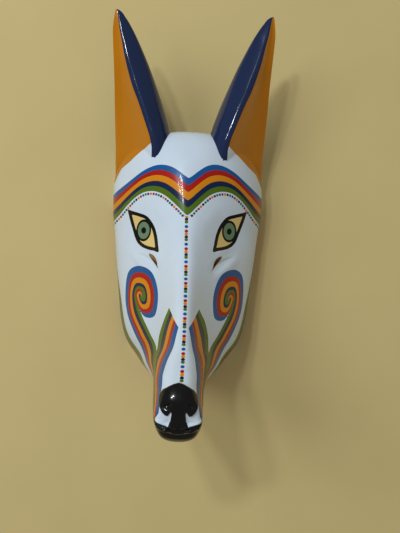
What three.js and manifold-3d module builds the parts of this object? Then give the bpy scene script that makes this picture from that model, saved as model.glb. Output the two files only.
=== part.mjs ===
// A carved wooden coyote face mask, lying on its flat back rim: +Z is out of the face and +Y towards the ears.
// It is cut from one block: a hollowed head with a long solid muzzle, two scooped ears and two viewing slits.
// All sizes are in millimetres.
import * as THREE from "three";
import { mergeVertices } from "three/addons/utils/BufferGeometryUtils.js";
import Module from "manifold-3d";

const wasm = await Module();
wasm.setup();

// Driving dimensions
const faceLength = 292; // crown to chin
const faceWidth = 160; // cheek to cheek
const faceDepth = 209; // back rim to the front of the nose
const earTop = 255; // ear tips, above the viewing slits' level
const earOverhang = 3; // how far an ear's outer edge stands out past the cheek
const earScoop = 4; // how deep the inside of an ear is carved
const wall = 11; // wood left between the face and the hollow
const lidLength = 25; // carved eyelid round a viewing slit, end to end
const slitLength = 18; // viewing slit, which starts at the inner corner of its lid
const slitHeight = 5.2; // viewing slit, at its middle
const mouthCut = 1.6; // radius of the cut that parts the lips
const nostrilRadius = 4.5;
const earReach = faceWidth / 2 + earOverhang; // outer edge of an ear from the middle

// How finely the surfaces are cut
const crownRings = 28;
const muzzleRings = 12;
const noseRings = 13;
const headFrontSides = 44;
const headBackSides = 10;
const hollowRings = 20;
const hollowSides = 28;
const earRings = 18;
const earFrontSides = 6;
const earBackSides = 12;
const mouthRings = 30;
const mouthSides = 6;

// The head is a row of slices from the crown to the tip of the muzzle, each between a front and a back point of the
// middle plane. Heights are shares of the face's length and depths are shares of its depth. The bridge and the cheek
// are shares of half the face's width, and together they are half of a slice. The widest place is a share of the way
// from back to front. The bridge's fullness is 2 where it is round, and a cheek with a high fall hollows quickly.
const headSlices = [
  { front: [0.486, 0.23], back: [0.486, 0.23], bridge: 0.0, cheek: 0.0, widest: 0.5, full: 2.4, fall: 1.0 },
  { front: [0.477, 0.32], back: [0.48, 0.085], bridge: 0.2, cheek: 0.16, widest: 0.5, full: 2.4, fall: 1.0 },
  { front: [0.455, 0.382], back: [0.46, -0.03], bridge: 0.32, cheek: 0.3, widest: 0.46, full: 2.5, fall: 1.0 },
  { front: [0.411, 0.424], back: [0.411, -0.12], bridge: 0.4, cheek: 0.48, widest: 0.4, full: 2.6, fall: 1.1 },
  { front: [0.325, 0.458], back: [0.325, -0.14], bridge: 0.42, cheek: 0.6, widest: 0.36, full: 2.6, fall: 1.5 },
  { front: [0.205, 0.487], back: [0.205, -0.14], bridge: 0.38, cheek: 0.65, widest: 0.34, full: 2.6, fall: 2.2 },
  { front: [0.103, 0.53], back: [0.1, -0.14], bridge: 0.33, cheek: 0.66, widest: 0.32, full: 2.5, fall: 3.0 },
  { front: [0.0, 0.593], back: [-0.01, -0.14], bridge: 0.3, cheek: 0.65, widest: 0.29, full: 2.5, fall: 3.6 },
  { front: [-0.075, 0.66], back: [-0.13, -0.14], bridge: 0.29, cheek: 0.615, widest: 0.27, full: 2.5, fall: 4.2 },
  { front: [-0.137, 0.715], back: [-0.24, -0.13], bridge: 0.28, cheek: 0.575, widest: 0.26, full: 2.5, fall: 4.6 },
  { front: [-0.188, 0.77], back: [-0.325, -0.1], bridge: 0.28, cheek: 0.478, widest: 0.24, full: 2.5, fall: 5.0 },
  { front: [-0.233, 0.824], back: [-0.392, 0.0], bridge: 0.29, cheek: 0.27, widest: 0.18, full: 2.6, fall: 5.0 },
  { front: [-0.267, 0.872], back: [-0.43, 0.25], bridge: 0.306, cheek: 0.04, widest: 0.3, full: 2.8, fall: 4.0 },
  { front: [-0.301, 0.923], back: [-0.47, 0.52], bridge: 0.293, cheek: 0.0, widest: 0.4, full: 2.8, fall: 2.0 },
  { front: [-0.332, 0.972], back: [-0.503, 0.74], bridge: 0.27, cheek: 0.0, widest: 0.46, full: 2.7, fall: 1.0 },
  { front: [-0.372, 1.0], back: [-0.514, 0.85], bridge: 0.25, cheek: 0.0, widest: 0.5, full: 2.5, fall: 1.0 },
  { front: [-0.405, 0.995], back: [-0.5, 0.91], bridge: 0.18, cheek: 0.0, widest: 0.5, full: 2.3, fall: 1.0 },
  { front: [-0.449, 0.968], back: [-0.449, 0.968], bridge: 0.0, cheek: 0.0, widest: 0.5, full: 2.2, fall: 1.0 },
];
const headBackFullness = 3.2; // of a slice's back, which is 2 where it is round
const chinFullness = 2.5; // the same at the tip of the muzzle
const muzzleFrom = 10.5; // the slice where the muzzle leaves the cheeks
const noseFrom = 14.5; // the slice where the muzzle turns into its blunt end

// The hollow follows the head from this slice to that one
const hollowFrom = 2.1;
const hollowTo = 10.9;
const hollowFront = 0.6; // how far it goes up into the nose, as a share of the face's depth

// A lid's middle as shares of half the width and of the length, how far it climbs outwards, and the slit's bow upwards
const lidAt = [0.465, 0.014];
const lidTilt = 40;
const slitBow = 0.13;

// The lips part along a line which starts on a side of the muzzle and crosses under its tip: the slice that it crosses
// on, how many slices back it starts, and how far it turns to each side
const mouthAcross = 16.72;
const mouthBack = 4.2;
const mouthTurn = 92;
const nostrilSlice = 15.3;
const nostrilTurn = 63;

// An ear is a row of slices from its tip down into the head. The front edge is sharp and so is the outer one, and the
// back bulges towards the middle plane. Heights are shares of the ear's top, widths are shares of the ear's reach and
// depths are shares of the face's depth.
const earSlices = [
  { height: 1.0, edge: [0.955, 0.407], outer: [0.955, 0.407], inner: 0.955, rear: [0.955, 0.407] },
  { height: 0.975, edge: [0.932, 0.41], outer: [0.98, 0.402], inner: 0.85, rear: [0.93, 0.375] },
  { height: 0.93, edge: [0.91, 0.413], outer: [1.0, 0.388], inner: 0.755, rear: [0.9, 0.335] },
  { height: 0.88, edge: [0.875, 0.415], outer: [1.0, 0.37], inner: 0.67, rear: [0.86, 0.29] },
  { height: 0.8, edge: [0.82, 0.419], outer: [0.995, 0.335], inner: 0.555, rear: [0.78, 0.24] },
  { height: 0.71, edge: [0.735, 0.424], outer: [0.995, 0.285], inner: 0.44, rear: [0.68, 0.18] },
  { height: 0.64, edge: [0.645, 0.429], outer: [1.0, 0.245], inner: 0.35, rear: [0.6, 0.12] },
  { height: 0.555, edge: [0.545, 0.434], outer: [1.0, 0.2], inner: 0.25, rear: [0.55, 0.06] },
  { height: 0.49, edge: [0.475, 0.436], outer: [1.0, 0.165], inner: 0.2, rear: [0.52, 0.04] },
  { height: 0.42, edge: [0.44, 0.41], outer: [1.0, 0.14], inner: 0.19, rear: [0.5, 0.04] },
  { height: 0.35, edge: [0.44, 0.34], outer: [0.99, 0.115], inner: 0.22, rear: [0.5, 0.05] },
  { height: 0.28, edge: [0.46, 0.27], outer: [0.93, 0.09], inner: 0.24, rear: [0.52, 0.06] },
];

// A table's values between its rows, as a smooth curve
function smoothRows(rows, columns) {
  const places = rows.map((_, i) => i);
  return new THREE.CubicInterpolant(places, rows.flatMap(columns), columns(rows[0]).length);
}

const headCurve = smoothRows(headSlices, (s) => [...s.front, ...s.back, s.bridge, s.cheek, s.widest, s.full, s.fall]);
const earCurve = smoothRows(earSlices, (s) => [s.height, ...s.edge, ...s.outer, s.inner, ...s.rear]);

// A hump of height 1 at its middle which ends smoothly at a distance of 1
const hump = (distance) => (distance < 1 ? (1 - distance * distance) ** 2 : 0);

const radians = THREE.MathUtils.degToRad;

// The eye sockets that the gouge takes off the face at a place seen from the front
function socketDepth(x, y) {
  const across = Math.abs(x) / (faceWidth / 2) - 0.56;
  const up = y / faceLength - 0.105;
  return 0.024 * faceDepth * hump(Math.hypot(across / 0.38, up / 0.12));
}

// The groove round a viewing slit, less the lid that bulges under it
function lidDepth(x, y) {
  const dx = Math.abs(x) - lidAt[0] * (faceWidth / 2);
  const dy = y - lidAt[1] * faceLength;
  const tilt = radians(lidTilt);
  const along = (dx * Math.cos(tilt) + dy * Math.sin(tilt)) / lidLength;
  const away = (dy * Math.cos(tilt) - dx * Math.sin(tilt)) / lidLength;
  const groove = 0.12 * hump(Math.hypot((along - 0.15) / 0.95, (away - 0.05) / 0.34));
  const lid = 0.15 * hump(Math.hypot((along - 0.05) / 0.85, (away + 0.32) / 0.27));
  return lidLength * (groove - lid);
}

// A point on the head's outside: the slice by its number, and the way round it from the left side over the front
function headPoint(slice, turn) {
  const [fy, fz, by, bz, bridge, cheek, widest, full, fall] = headCurve.evaluate(slice);
  const front = new THREE.Vector3(0, fy * faceLength, fz * faceDepth);
  const back = new THREE.Vector3(0, by * faceLength, bz * faceDepth);
  const across = -Math.cos(turn);
  const outward = Math.sin(turn);
  const reach = Math.abs(across);
  const isFront = outward >= 0;
  const chin = THREE.MathUtils.smoothstep(slice, muzzleFrom, noseFrom);
  const backFull = THREE.MathUtils.lerp(headBackFullness, chinFullness, chin);
  const shareOfBridge = reach ** (2 / (isFront ? full : backFull));
  const shareOfCheek = reach ** (isFront ? fall : 2 / backFull);
  const half = (Math.max(bridge, 0) * shareOfBridge + Math.max(cheek, 0) * shareOfCheek) * (faceWidth / 2);
  const along = isFront
    ? widest + (1 - widest) * outward
    : widest * (1 - Math.abs(outward) ** (2 / backFull));
  const point = back.clone().lerp(front, along);
  point.x = Math.sign(across) * half;
  return point;
}

// Turns round a slice are spaced evenly over the front, and again over the back
function turnAt(side, frontSides, backSides) {
  return side <= frontSides
    ? (Math.PI * side) / frontSides
    : Math.PI + (Math.PI * (side - frontSides)) / backSides;
}

// A sphere whose rows become slices and whose columns go round them
function spunForm(sides, rings, place) {
  const form = new THREE.SphereGeometry(1, sides, rings);
  const { position, uv } = form.attributes;
  for (let i = 0; i < position.count; i += 1) {
    const point = place(i % (sides + 1), 1 - uv.getY(i));
    position.setXYZ(i, point.x, point.y, point.z);
  }
  return form;
}

function solidOf(geometry) {
  const bare = geometry.clone();
  bare.deleteAttribute("normal");
  bare.deleteAttribute("uv");
  const merged = mergeVertices(bare, 1e-3);
  return new wasm.Manifold(
    new wasm.Mesh({
      numProp: 3,
      vertProperties: new Float32Array(merged.attributes.position.array),
      triVerts: new Uint32Array(merged.index.array),
    }),
  );
}

function geometryOf(solid) {
  const mesh = solid.getMesh();
  const geometry = new THREE.BufferGeometry();
  geometry.setAttribute("position", new THREE.BufferAttribute(mesh.vertProperties, 3));
  geometry.setIndex(new THREE.BufferAttribute(mesh.triVerts, 1));
  geometry.computeVertexNormals();
  return geometry;
}

// The slice of a ring, with the rings closer together on the muzzle and closest on the nose
function sliceOfRing(ring) {
  const last = headSlices.length - 1;
  if (ring <= crownRings) return (muzzleFrom * ring) / crownRings;
  if (ring <= crownRings + muzzleRings) {
    return muzzleFrom + ((noseFrom - muzzleFrom) * (ring - crownRings)) / muzzleRings;
  }
  return noseFrom + ((last - noseFrom) * (ring - crownRings - muzzleRings)) / noseRings;
}

// The head's outside, reaching behind the back rim
function headBlank() {
  const rings = crownRings + muzzleRings + noseRings;
  return spunForm(headFrontSides + headBackSides, rings, (side, share) => {
    const turn = turnAt(side, headFrontSides, headBackSides);
    const point = headPoint(sliceOfRing(Math.round(share * rings)), turn);
    if (turn < Math.PI) point.z -= (socketDepth(point.x, point.y) + lidDepth(point.x, point.y)) * Math.sin(turn);
    return point;
  });
}

// The hollow behind the face, rounded at its ends
function hollowBlank() {
  return spunForm(hollowSides, hollowRings, (side, share) => {
    const turn = turnAt(side, (hollowSides * 3) / 4, hollowSides / 4);
    const slice = hollowFrom + (hollowTo - hollowFrom) * share;
    const rounded = (1 - Math.abs(2 * share - 1) ** 5) ** 0.5;
    const outside = headPoint(slice, turn);
    const half = headPoint(slice, 0).x;
    const middle = headPoint(slice, Math.PI).clone().setX(0);
    const front = headPoint(slice, Math.PI / 2);
    const depth = Math.min(front.z, hollowFront * faceDepth + wall) - wall - middle.z;
    const inwards = outside.clone().sub(middle);
    const scale = Math.min(depth / (front.z - middle.z), 1) * rounded;
    inwards.multiplyScalar(turn < Math.PI ? scale : rounded);
    inwards.x = outside.x * (1 - wall / Math.abs(half)) * rounded;
    if (turn < Math.PI) inwards.z -= socketDepth(outside.x, outside.y) * Math.sin(turn) * rounded;
    return middle.add(inwards);
  });
}

// An ear; the side is 1 for the right one and -1 for the left one
function earBlank(side) {
  const sides = earFrontSides + earBackSides;
  return spunForm(sides, earRings, (column, share) => {
    const slice = Math.min(share * 1.06, 1) * (earSlices.length - 1);
    const [height, edgeX, edgeZ, outerX, outerZ, inner, rearX, rearZ] = earCurve.evaluate(slice);
    const edge = new THREE.Vector2(edgeX * earReach, edgeZ * faceDepth);
    const outer = new THREE.Vector2(outerX * earReach, outerZ * faceDepth);
    const rear = new THREE.Vector2(rearX * earReach, rearZ * faceDepth);
    const belly = new THREE.Vector2(
      edge.x - (edge.x - inner * earReach) * 2.3,
      rear.y + (edge.y - rear.y) * 0.72,
    );
    const step = side > 0 ? column : sides - column;
    const point = new THREE.Vector2();
    if (step <= earFrontSides) {
      const way = step / earFrontSides;
      const chord = outer.clone().sub(edge);
      const scoop = Math.min(earScoop, chord.length() / 7) * Math.sin(Math.PI * way);
      point.copy(edge).addScaledVector(chord, way);
      if (chord.length() > 0) point.addScaledVector(new THREE.Vector2(chord.y, -chord.x).normalize(), scoop);
    } else {
      const way = (step - earFrontSides) / earBackSides;
      point.copy(new THREE.CubicBezierCurve(outer, rear, belly, edge).getPoint(way));
    }
    if (share >= 1) point.set(0.62 * earReach, 0.22 * faceDepth);
    return new THREE.Vector3(side * point.x, height * earTop, point.y);
  });
}

// A viewing slit: a crescent, cut straight through the face
function slitCut(side) {
  const half = slitLength / 2;
  const crown = slitBow * slitLength;
  const outline = new THREE.Shape();
  outline.moveTo(-half, 0);
  outline.quadraticCurveTo(0, 2 * crown + slitHeight, half, 0);
  outline.quadraticCurveTo(0, 2 * crown - slitHeight, -half, 0);
  const cut = new THREE.ExtrudeGeometry(outline, { depth: faceDepth / 2, bevelEnabled: false, curveSegments: 8 });
  cut.translate((slitLength - lidLength) / 2, -crown / 2, faceDepth * 0.15).rotateZ(radians(lidTilt));
  cut.translate(lidAt[0] * (faceWidth / 2), lidAt[1] * faceLength, 0);
  return side > 0 ? cut : cut.rotateY(Math.PI).translate(0, 0, faceDepth * 0.8);
}

// The cut between the lips follows the muzzle's surface and runs out at both ends
function mouthLine() {
  const points = [];
  for (let step = -10; step <= 10; step += 1) {
    const aside = Math.abs(step / 10);
    const turn = 1.5 * Math.PI - Math.sign(step) * radians(mouthTurn) * (1 - (1 - aside) ** 7);
    points.push(headPoint(mouthAcross - mouthBack * aside ** 1.9, turn));
  }
  const path = new THREE.CatmullRomCurve3(points);
  const frames = path.computeFrenetFrames(mouthRings);
  return spunForm(mouthSides, mouthRings, (side, share) => {
    const ring = Math.round(share * mouthRings);
    const angle = (2 * Math.PI * side) / mouthSides;
    const radius = mouthCut * (1 - Math.abs(2 * share - 1) ** 8) ** 0.5;
    return path
      .getPointAt(share)
      .addScaledVector(frames.normals[ring], radius * Math.cos(angle))
      .addScaledVector(frames.binormals[ring], -radius * Math.sin(angle));
  });
}

const head = solidOf(headBlank());
const ears = [1, -1].map((side) => solidOf(earBlank(side)));
const hollow = solidOf(hollowBlank());
const sawnOff = solidOf(
  new THREE.BoxGeometry(2 * faceWidth, 2 * faceLength, faceDepth).translate(0, 0, -faceDepth / 2),
);
let carved = head.add(ears[0]).add(ears[1]).subtract(hollow).subtract(sawnOff);
for (const side of [1, -1]) {
  carved = carved.subtract(solidOf(slitCut(side)));
  const nostril = headPoint(nostrilSlice, radians(side > 0 ? 180 - nostrilTurn : nostrilTurn));
  const pit = new THREE.SphereGeometry(nostrilRadius, 10, 8).scale(1, 0.8, 0.8);
  carved = carved.subtract(solidOf(pit.translate(nostril.x, nostril.y, nostril.z)));
}
carved = carved.subtract(solidOf(mouthLine()));

// The origin is under the middle of the whole mask, on the plane that it lies on
const shape = geometryOf(carved);
shape.computeBoundingBox();
const middle = shape.boundingBox.getCenter(new THREE.Vector3());
shape.translate(-middle.x, -middle.y, -shape.boundingBox.min.z);

const paintedWood = new THREE.MeshStandardMaterial({ color: 0xe9edf0, roughness: 0.18, metalness: 0 });
const mask = new THREE.Mesh(shape, paintedWood);
mask.name = "coyote_mask";

const group = new THREE.Group();
group.add(mask);

export default group;
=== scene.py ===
import math

import bmesh
import bpy
import numpy as np
from mathutils import Matrix, Vector
from mathutils.kdtree import KDTree


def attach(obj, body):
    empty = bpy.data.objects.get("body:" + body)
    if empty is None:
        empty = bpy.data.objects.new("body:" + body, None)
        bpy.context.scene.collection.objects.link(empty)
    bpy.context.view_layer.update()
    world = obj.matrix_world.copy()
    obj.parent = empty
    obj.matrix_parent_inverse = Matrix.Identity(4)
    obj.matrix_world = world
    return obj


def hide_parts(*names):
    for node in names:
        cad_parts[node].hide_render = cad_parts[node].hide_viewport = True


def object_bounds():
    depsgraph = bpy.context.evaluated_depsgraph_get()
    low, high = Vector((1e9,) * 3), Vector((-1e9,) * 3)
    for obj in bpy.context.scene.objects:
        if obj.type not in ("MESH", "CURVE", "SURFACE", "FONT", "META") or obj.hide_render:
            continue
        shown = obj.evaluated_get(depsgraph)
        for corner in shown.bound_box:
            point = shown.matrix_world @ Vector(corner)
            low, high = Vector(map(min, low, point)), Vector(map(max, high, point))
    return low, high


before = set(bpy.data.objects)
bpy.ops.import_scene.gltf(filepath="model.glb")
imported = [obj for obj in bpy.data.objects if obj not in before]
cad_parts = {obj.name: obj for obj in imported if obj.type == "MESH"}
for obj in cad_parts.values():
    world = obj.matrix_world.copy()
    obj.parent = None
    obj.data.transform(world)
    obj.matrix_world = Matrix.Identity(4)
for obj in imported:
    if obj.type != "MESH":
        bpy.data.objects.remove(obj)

first_bounds = [list(corner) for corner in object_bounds()]

# Sizes of the mask in millimetres, in the face's own frame: X across, Y up from the
# viewing slits, Z out of the face
FACE_LENGTH = 292.0
FACE_WIDTH = 160.0
FACE_DEPTH = 209.0
EAR_TOP = 255.0
EAR_REACH = FACE_WIDTH / 2 + 3.0
EAR_SCOOP = 4.0
WALL = 11.0
LID_LENGTH = 25.0
SLIT_LENGTH = 18.0
SLIT_HEIGHT = 5.2
SLIT_SLANT = 14.0
MOUTH_CUT = 1.6
NOSTRIL_RADIUS = 4.5
NOSTRIL_DEPTH = 2.8
NOSTRIL_SLICE = 15.3
NOSTRIL_TURN = 27
PAD_STEP = 1.4
GOUGE_DEPTH = 0.12
UNDER_SOLID = 0.2
FACET_WIDTH = 5.0

FACE_TO_PART = Vector((0.0, first_bounds[1][1] - EAR_TOP / 1000, 0.0))

# front y, front z, back y, back z, bridge, cheek, widest, full, fall
HEAD_SLICES = np.array([
    [0.486, 0.23, 0.486, 0.23, 0.0, 0.0, 0.5, 2.4, 1.0],
    [0.477, 0.32, 0.48, 0.085, 0.2, 0.16, 0.5, 2.4, 1.0],
    [0.455, 0.382, 0.46, -0.03, 0.32, 0.3, 0.46, 2.5, 1.0],
    [0.411, 0.424, 0.411, -0.12, 0.4, 0.48, 0.4, 2.6, 1.1],
    [0.325, 0.458, 0.325, -0.14, 0.42, 0.6, 0.36, 2.6, 1.5],
    [0.205, 0.487, 0.205, -0.14, 0.38, 0.65, 0.34, 2.6, 2.2],
    [0.103, 0.53, 0.1, -0.14, 0.33, 0.66, 0.32, 2.5, 3.0],
    [0.0, 0.593, -0.01, -0.14, 0.3, 0.65, 0.29, 2.5, 3.6],
    [-0.075, 0.66, -0.13, -0.14, 0.29, 0.615, 0.27, 2.5, 4.2],
    [-0.137, 0.715, -0.24, -0.13, 0.28, 0.575, 0.26, 2.5, 4.6],
    [-0.188, 0.77, -0.325, -0.1, 0.28, 0.478, 0.24, 2.5, 5.0],
    [-0.233, 0.824, -0.392, 0.0, 0.29, 0.27, 0.18, 2.6, 5.0],
    [-0.267, 0.872, -0.43, 0.25, 0.306, 0.04, 0.3, 2.8, 4.0],
    [-0.301, 0.923, -0.47, 0.52, 0.293, 0.0, 0.4, 2.8, 2.0],
    [-0.332, 0.972, -0.503, 0.74, 0.27, 0.0, 0.46, 2.7, 1.0],
    [-0.372, 1.0, -0.514, 0.85, 0.25, 0.0, 0.5, 2.5, 1.0],
    [-0.405, 0.995, -0.5, 0.91, 0.18, 0.0, 0.5, 2.3, 1.0],
    [-0.449, 0.968, -0.449, 0.968, 0.0, 0.0, 0.5, 2.2, 1.0],
])
BACK_FULLNESS = 3.2
CHIN_FULLNESS = 2.5
MUZZLE_FROM = 10.5
NOSE_FROM = 14.5
LAST_SLICE = len(HEAD_SLICES) - 1

# height, edge x, edge z, outer x, outer z, inner x, rear x, rear z
EAR_SLICES = np.array([
    [1.0, 0.955, 0.407, 0.955, 0.407, 0.955, 0.955, 0.407],
    [0.975, 0.932, 0.41, 0.98, 0.402, 0.85, 0.93, 0.375],
    [0.93, 0.91, 0.413, 1.0, 0.388, 0.755, 0.9, 0.335],
    [0.88, 0.875, 0.415, 1.0, 0.37, 0.67, 0.86, 0.29],
    [0.8, 0.82, 0.419, 0.995, 0.335, 0.555, 0.78, 0.24],
    [0.71, 0.735, 0.424, 0.995, 0.285, 0.44, 0.68, 0.18],
    [0.64, 0.645, 0.429, 1.0, 0.245, 0.35, 0.6, 0.12],
    [0.555, 0.545, 0.434, 1.0, 0.2, 0.25, 0.55, 0.06],
    [0.49, 0.475, 0.436, 1.0, 0.165, 0.2, 0.52, 0.04],
    [0.42, 0.44, 0.41, 1.0, 0.14, 0.19, 0.5, 0.04],
    [0.35, 0.44, 0.34, 0.99, 0.115, 0.22, 0.5, 0.05],
    [0.28, 0.46, 0.27, 0.93, 0.09, 0.24, 0.52, 0.06],
])

LID_AT = (0.465, 0.014)
LID_TILT = math.radians(40)
SLIT_BOW = 0.13


# Form

def smooth_rows(table, place):
    """Values between the rows of a table, as a smooth curve."""
    last = len(table) - 1
    place = np.asarray(place, float)
    i = np.clip(np.floor(place).astype(int), 0, last - 1)
    p = (place - i)[..., None]
    before = np.where(i == 0, i + 1, i - 1)
    after = np.where(i == last - 1, i, np.minimum(i + 2, last))
    w0 = np.where(i == 0, -0.5, 0.5)[..., None]
    w1 = np.where(i == last - 1, -0.5, 0.5)[..., None]
    pp, ppp = p * p, p * p * p
    return ((-w0 * ppp + 2 * w0 * pp - w0 * p) * table[before]
            + ((1 + w0) * ppp + (-1.5 - 2 * w0) * pp + (-0.5 + w0) * p + 1) * table[i]
            + ((-1 - w1) * ppp + (1.5 + w1) * pp + 0.5 * p) * table[i + 1]
            + (w1 * ppp - w1 * pp) * table[after])


def smooth_path(points, steps):
    """A smooth path through points, with a number of steps between each two."""
    points = np.asarray(points, float)
    return smooth_rows(points, np.linspace(0, len(points) - 1, steps * (len(points) - 1) + 1))


def smooth_curve(x, knots):
    """A smooth function through (x, y) knots, flat outside them."""
    xs, ys = np.array(knots, float).T
    i = np.clip(np.searchsorted(xs, x) - 1, 0, len(xs) - 2)
    t = np.clip((x - xs[i]) / (xs[i + 1] - xs[i]), 0, 1)
    return smooth_rows(ys[:, None], i + t)[..., 0]


def hump(distance):
    """1 in the middle, falling smoothly to 0 at distance 1."""
    return np.where(distance < 1, (1 - np.minimum(distance, 1) ** 2) ** 2, 0.0)


def smoothstep(low, high, value):
    t = np.clip((value - low) / (high - low), 0, 1)
    return t * t * (3 - 2 * t)


def head_point(place, turn):
    """A point on the head's outside: its slice, and the way round from the left side over the front."""
    fy, fz, by, bz, bridge, cheek, widest, full, fall = np.moveaxis(smooth_rows(HEAD_SLICES, place), -1, 0)
    across, outward = -np.cos(turn), np.sin(turn)
    reach, out = np.abs(across), np.abs(outward)
    front = outward >= 0
    chin = smoothstep(MUZZLE_FROM, NOSE_FROM, np.asarray(place, float))
    back_full = BACK_FULLNESS + (CHIN_FULLNESS - BACK_FULLNESS) * chin
    half = (np.maximum(bridge, 0) * reach ** (2 / np.where(front, full, back_full))
            + np.maximum(cheek, 0) * reach ** np.where(front, fall, 2 / back_full)) * FACE_WIDTH / 2
    along = np.where(front, widest + (1 - widest) * out, widest * (1 - out ** (2 / back_full)))
    y = (by + (fy - by) * along) * FACE_LENGTH
    z = (bz + (fz - bz) * along) * FACE_DEPTH
    return np.stack([np.sign(across) * half, y, z], -1)


def socket_depth(x, y):
    """The broad hollow round each eye."""
    across = np.abs(x) / (FACE_WIDTH / 2) - 0.56
    up = y / FACE_LENGTH - 0.105
    return 0.024 * FACE_DEPTH * hump(np.hypot(across / 0.38, up / 0.12))


def lid_place(x, y):
    """A place along the lid and away from it, as shares of its length."""
    dx = np.abs(x) - LID_AT[0] * FACE_WIDTH / 2
    dy = y - LID_AT[1] * FACE_LENGTH
    along = (dx * math.cos(LID_TILT) + dy * math.sin(LID_TILT)) / LID_LENGTH
    away = (dy * math.cos(LID_TILT) - dx * math.sin(LID_TILT)) / LID_LENGTH
    return along, away


def lid_depth(x, y):
    """The groove along the slit and the swollen lid under it."""
    along, away = lid_place(x, y)
    groove = 0.12 * hump(np.hypot((along - 0.15) / 0.95, (away - 0.05) / 0.34))
    lid = 0.15 * hump(np.hypot((along - 0.05) / 0.85, (away + 0.32) / 0.27))
    return LID_LENGTH * (groove - lid)


def lid_crease(x, y):
    """The sharp line that the knife leaves over the lower lid."""
    along, away = lid_place(x, y)
    line = 0.1 - 0.4 * (along + 0.14) ** 2
    window = smoothstep(-0.66, -0.45, along) * (1 - smoothstep(0.3, 0.66, along))
    under = line - away
    cut = smoothstep(-0.03, 0.03, under) * np.exp(-np.maximum(under, 0) / 0.18)
    edge = np.exp(-((under + 0.07) / 0.05) ** 2)
    return LID_LENGTH * window * (0.125 * cut - 0.012 * edge)


FAR = 12.0


def inside_distance(points, outline):
    """How far points lie inside a closed outline; negative outside it, down to -FAR."""
    a = np.asarray(outline, float)
    b = np.roll(a, -1, 0)
    result = np.full(len(points), -FAR)
    near = np.all((points > a.min(0) - FAR) & (points < a.max(0) + FAR), axis=1)
    p = points[near]
    best = np.full(len(p), 1e9)
    inside = np.zeros(len(p), bool)
    for start, end in zip(a, b):
        edge = end - start
        length = edge @ edge
        if length < 1e-12:
            continue
        t = np.clip((p - start) @ edge / length, 0, 1)
        away = p - start - t[:, None] * edge
        best = np.minimum(best, (away ** 2).sum(1))
        crosses = (start[1] > p[:, 1]) != (end[1] > p[:, 1])
        if edge[1]:
            at = start[0] + (p[:, 1] - start[1]) * edge[0] / edge[1]
            inside ^= crosses & (p[:, 0] < at)
    result[near] = np.maximum(np.where(inside, 1, -1) * np.sqrt(best), -FAR)
    return result


def distance_to_path(points, path):
    """How far points lie from an open path."""
    best = np.full(len(points), 1e9)
    for start, end in zip(path[:-1], path[1:]):
        edge = end - start
        t = np.clip((points - start) @ edge / max(edge @ edge, 1e-12), 0, 1)
        best = np.minimum(best, ((points - start - t[:, None] * edge) ** 2).sum(1))
    return np.sqrt(best)


# Meshes

def sheet_grid(columns, rows):
    """A flat grid whose columns will go round a form and whose rows go down it, with each point's place."""
    bm = bmesh.new()
    bmesh.ops.create_grid(bm, x_segments=columns, y_segments=rows, size=1)
    bm.verts.ensure_lookup_table()
    place = np.array([(v.co.x, v.co.y) for v in bm.verts])
    return bm, (place[:, 0] + 1) / 2, (1 - place[:, 1]) / 2


def finish_form(name, bm, points, slot_of, layers=None):
    """Moves the grid's points onto the form (millimetres, face frame) and closes its seam and poles."""
    for vert, point in zip(bm.verts, points / 1000):
        vert.co = Vector(point) + FACE_TO_PART
    for key, values in (layers or {}).items():
        layer = bm.verts.layers.float.new(key)
        for vert, value in zip(bm.verts, values):
            vert[layer] = value
    for face in bm.faces:
        face.material_index = slot_of(face)
    bmesh.ops.remove_doubles(bm, verts=bm.verts, dist=2e-6)
    bmesh.ops.dissolve_degenerate(bm, edges=bm.edges, dist=1e-7)
    bmesh.ops.recalc_face_normals(bm, faces=bm.faces)
    mesh = bpy.data.meshes.new(name)
    bm.to_mesh(mesh)
    bm.free()
    for material in MATERIALS:
        mesh.materials.append(material)
    piece = bpy.data.objects.new(name, mesh)
    bpy.context.scene.collection.objects.link(piece)
    return piece


def join_or_cut(target, tool, operation):
    """Joins a tool to the target or cuts it away, and keeps the materials of both."""
    modifier = target.modifiers.new("cut", "BOOLEAN")
    modifier.operation = operation
    modifier.solver = "EXACT"
    modifier.object = tool
    modifier.material_mode = "TRANSFER"
    with bpy.context.temp_override(object=target, active_object=target, selected_objects=[target]):
        bpy.ops.object.modifier_apply(modifier=modifier.name)
    bpy.data.objects.remove(tool)


# Where the paint goes

HEAD_COLUMNS, HEAD_ROWS = 280, 300
FRONT_SHARE = 0.8
MIDDLE_COLUMN = int(HEAD_COLUMNS * FRONT_SHARE / 2)

# The hand's own unevenness: the right side is painted higher, and the nose leans to the left
HAND_LIFT = 2.4
NOSE_LEAN = 1.8


def head_grid():
    """The head's grid, with its rows closer together over the eyes and the mouth."""
    u = np.linspace(0, 1, HEAD_COLUMNS + 1)
    behind = (u - FRONT_SHARE) / (1 - FRONT_SHARE)
    turn = math.pi * np.where(u <= FRONT_SHARE, u / FRONT_SHARE, 1 + behind)
    fine = np.linspace(0, LAST_SLICE, 4001)
    weight = 1 + 1.7 * hump(np.abs(fine - 7.3) / 1.3) + 0.6 * hump(np.abs(fine - 14) / 3)
    passed = np.concatenate([[0], np.cumsum((weight[1:] + weight[:-1]) / 2)])
    place = np.interp(np.linspace(0, passed[-1], HEAD_ROWS + 1), passed, fine)
    return np.meshgrid(place, turn, indexing="ij")


places, turns = head_grid()
plain = head_point(places, turns)

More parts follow.
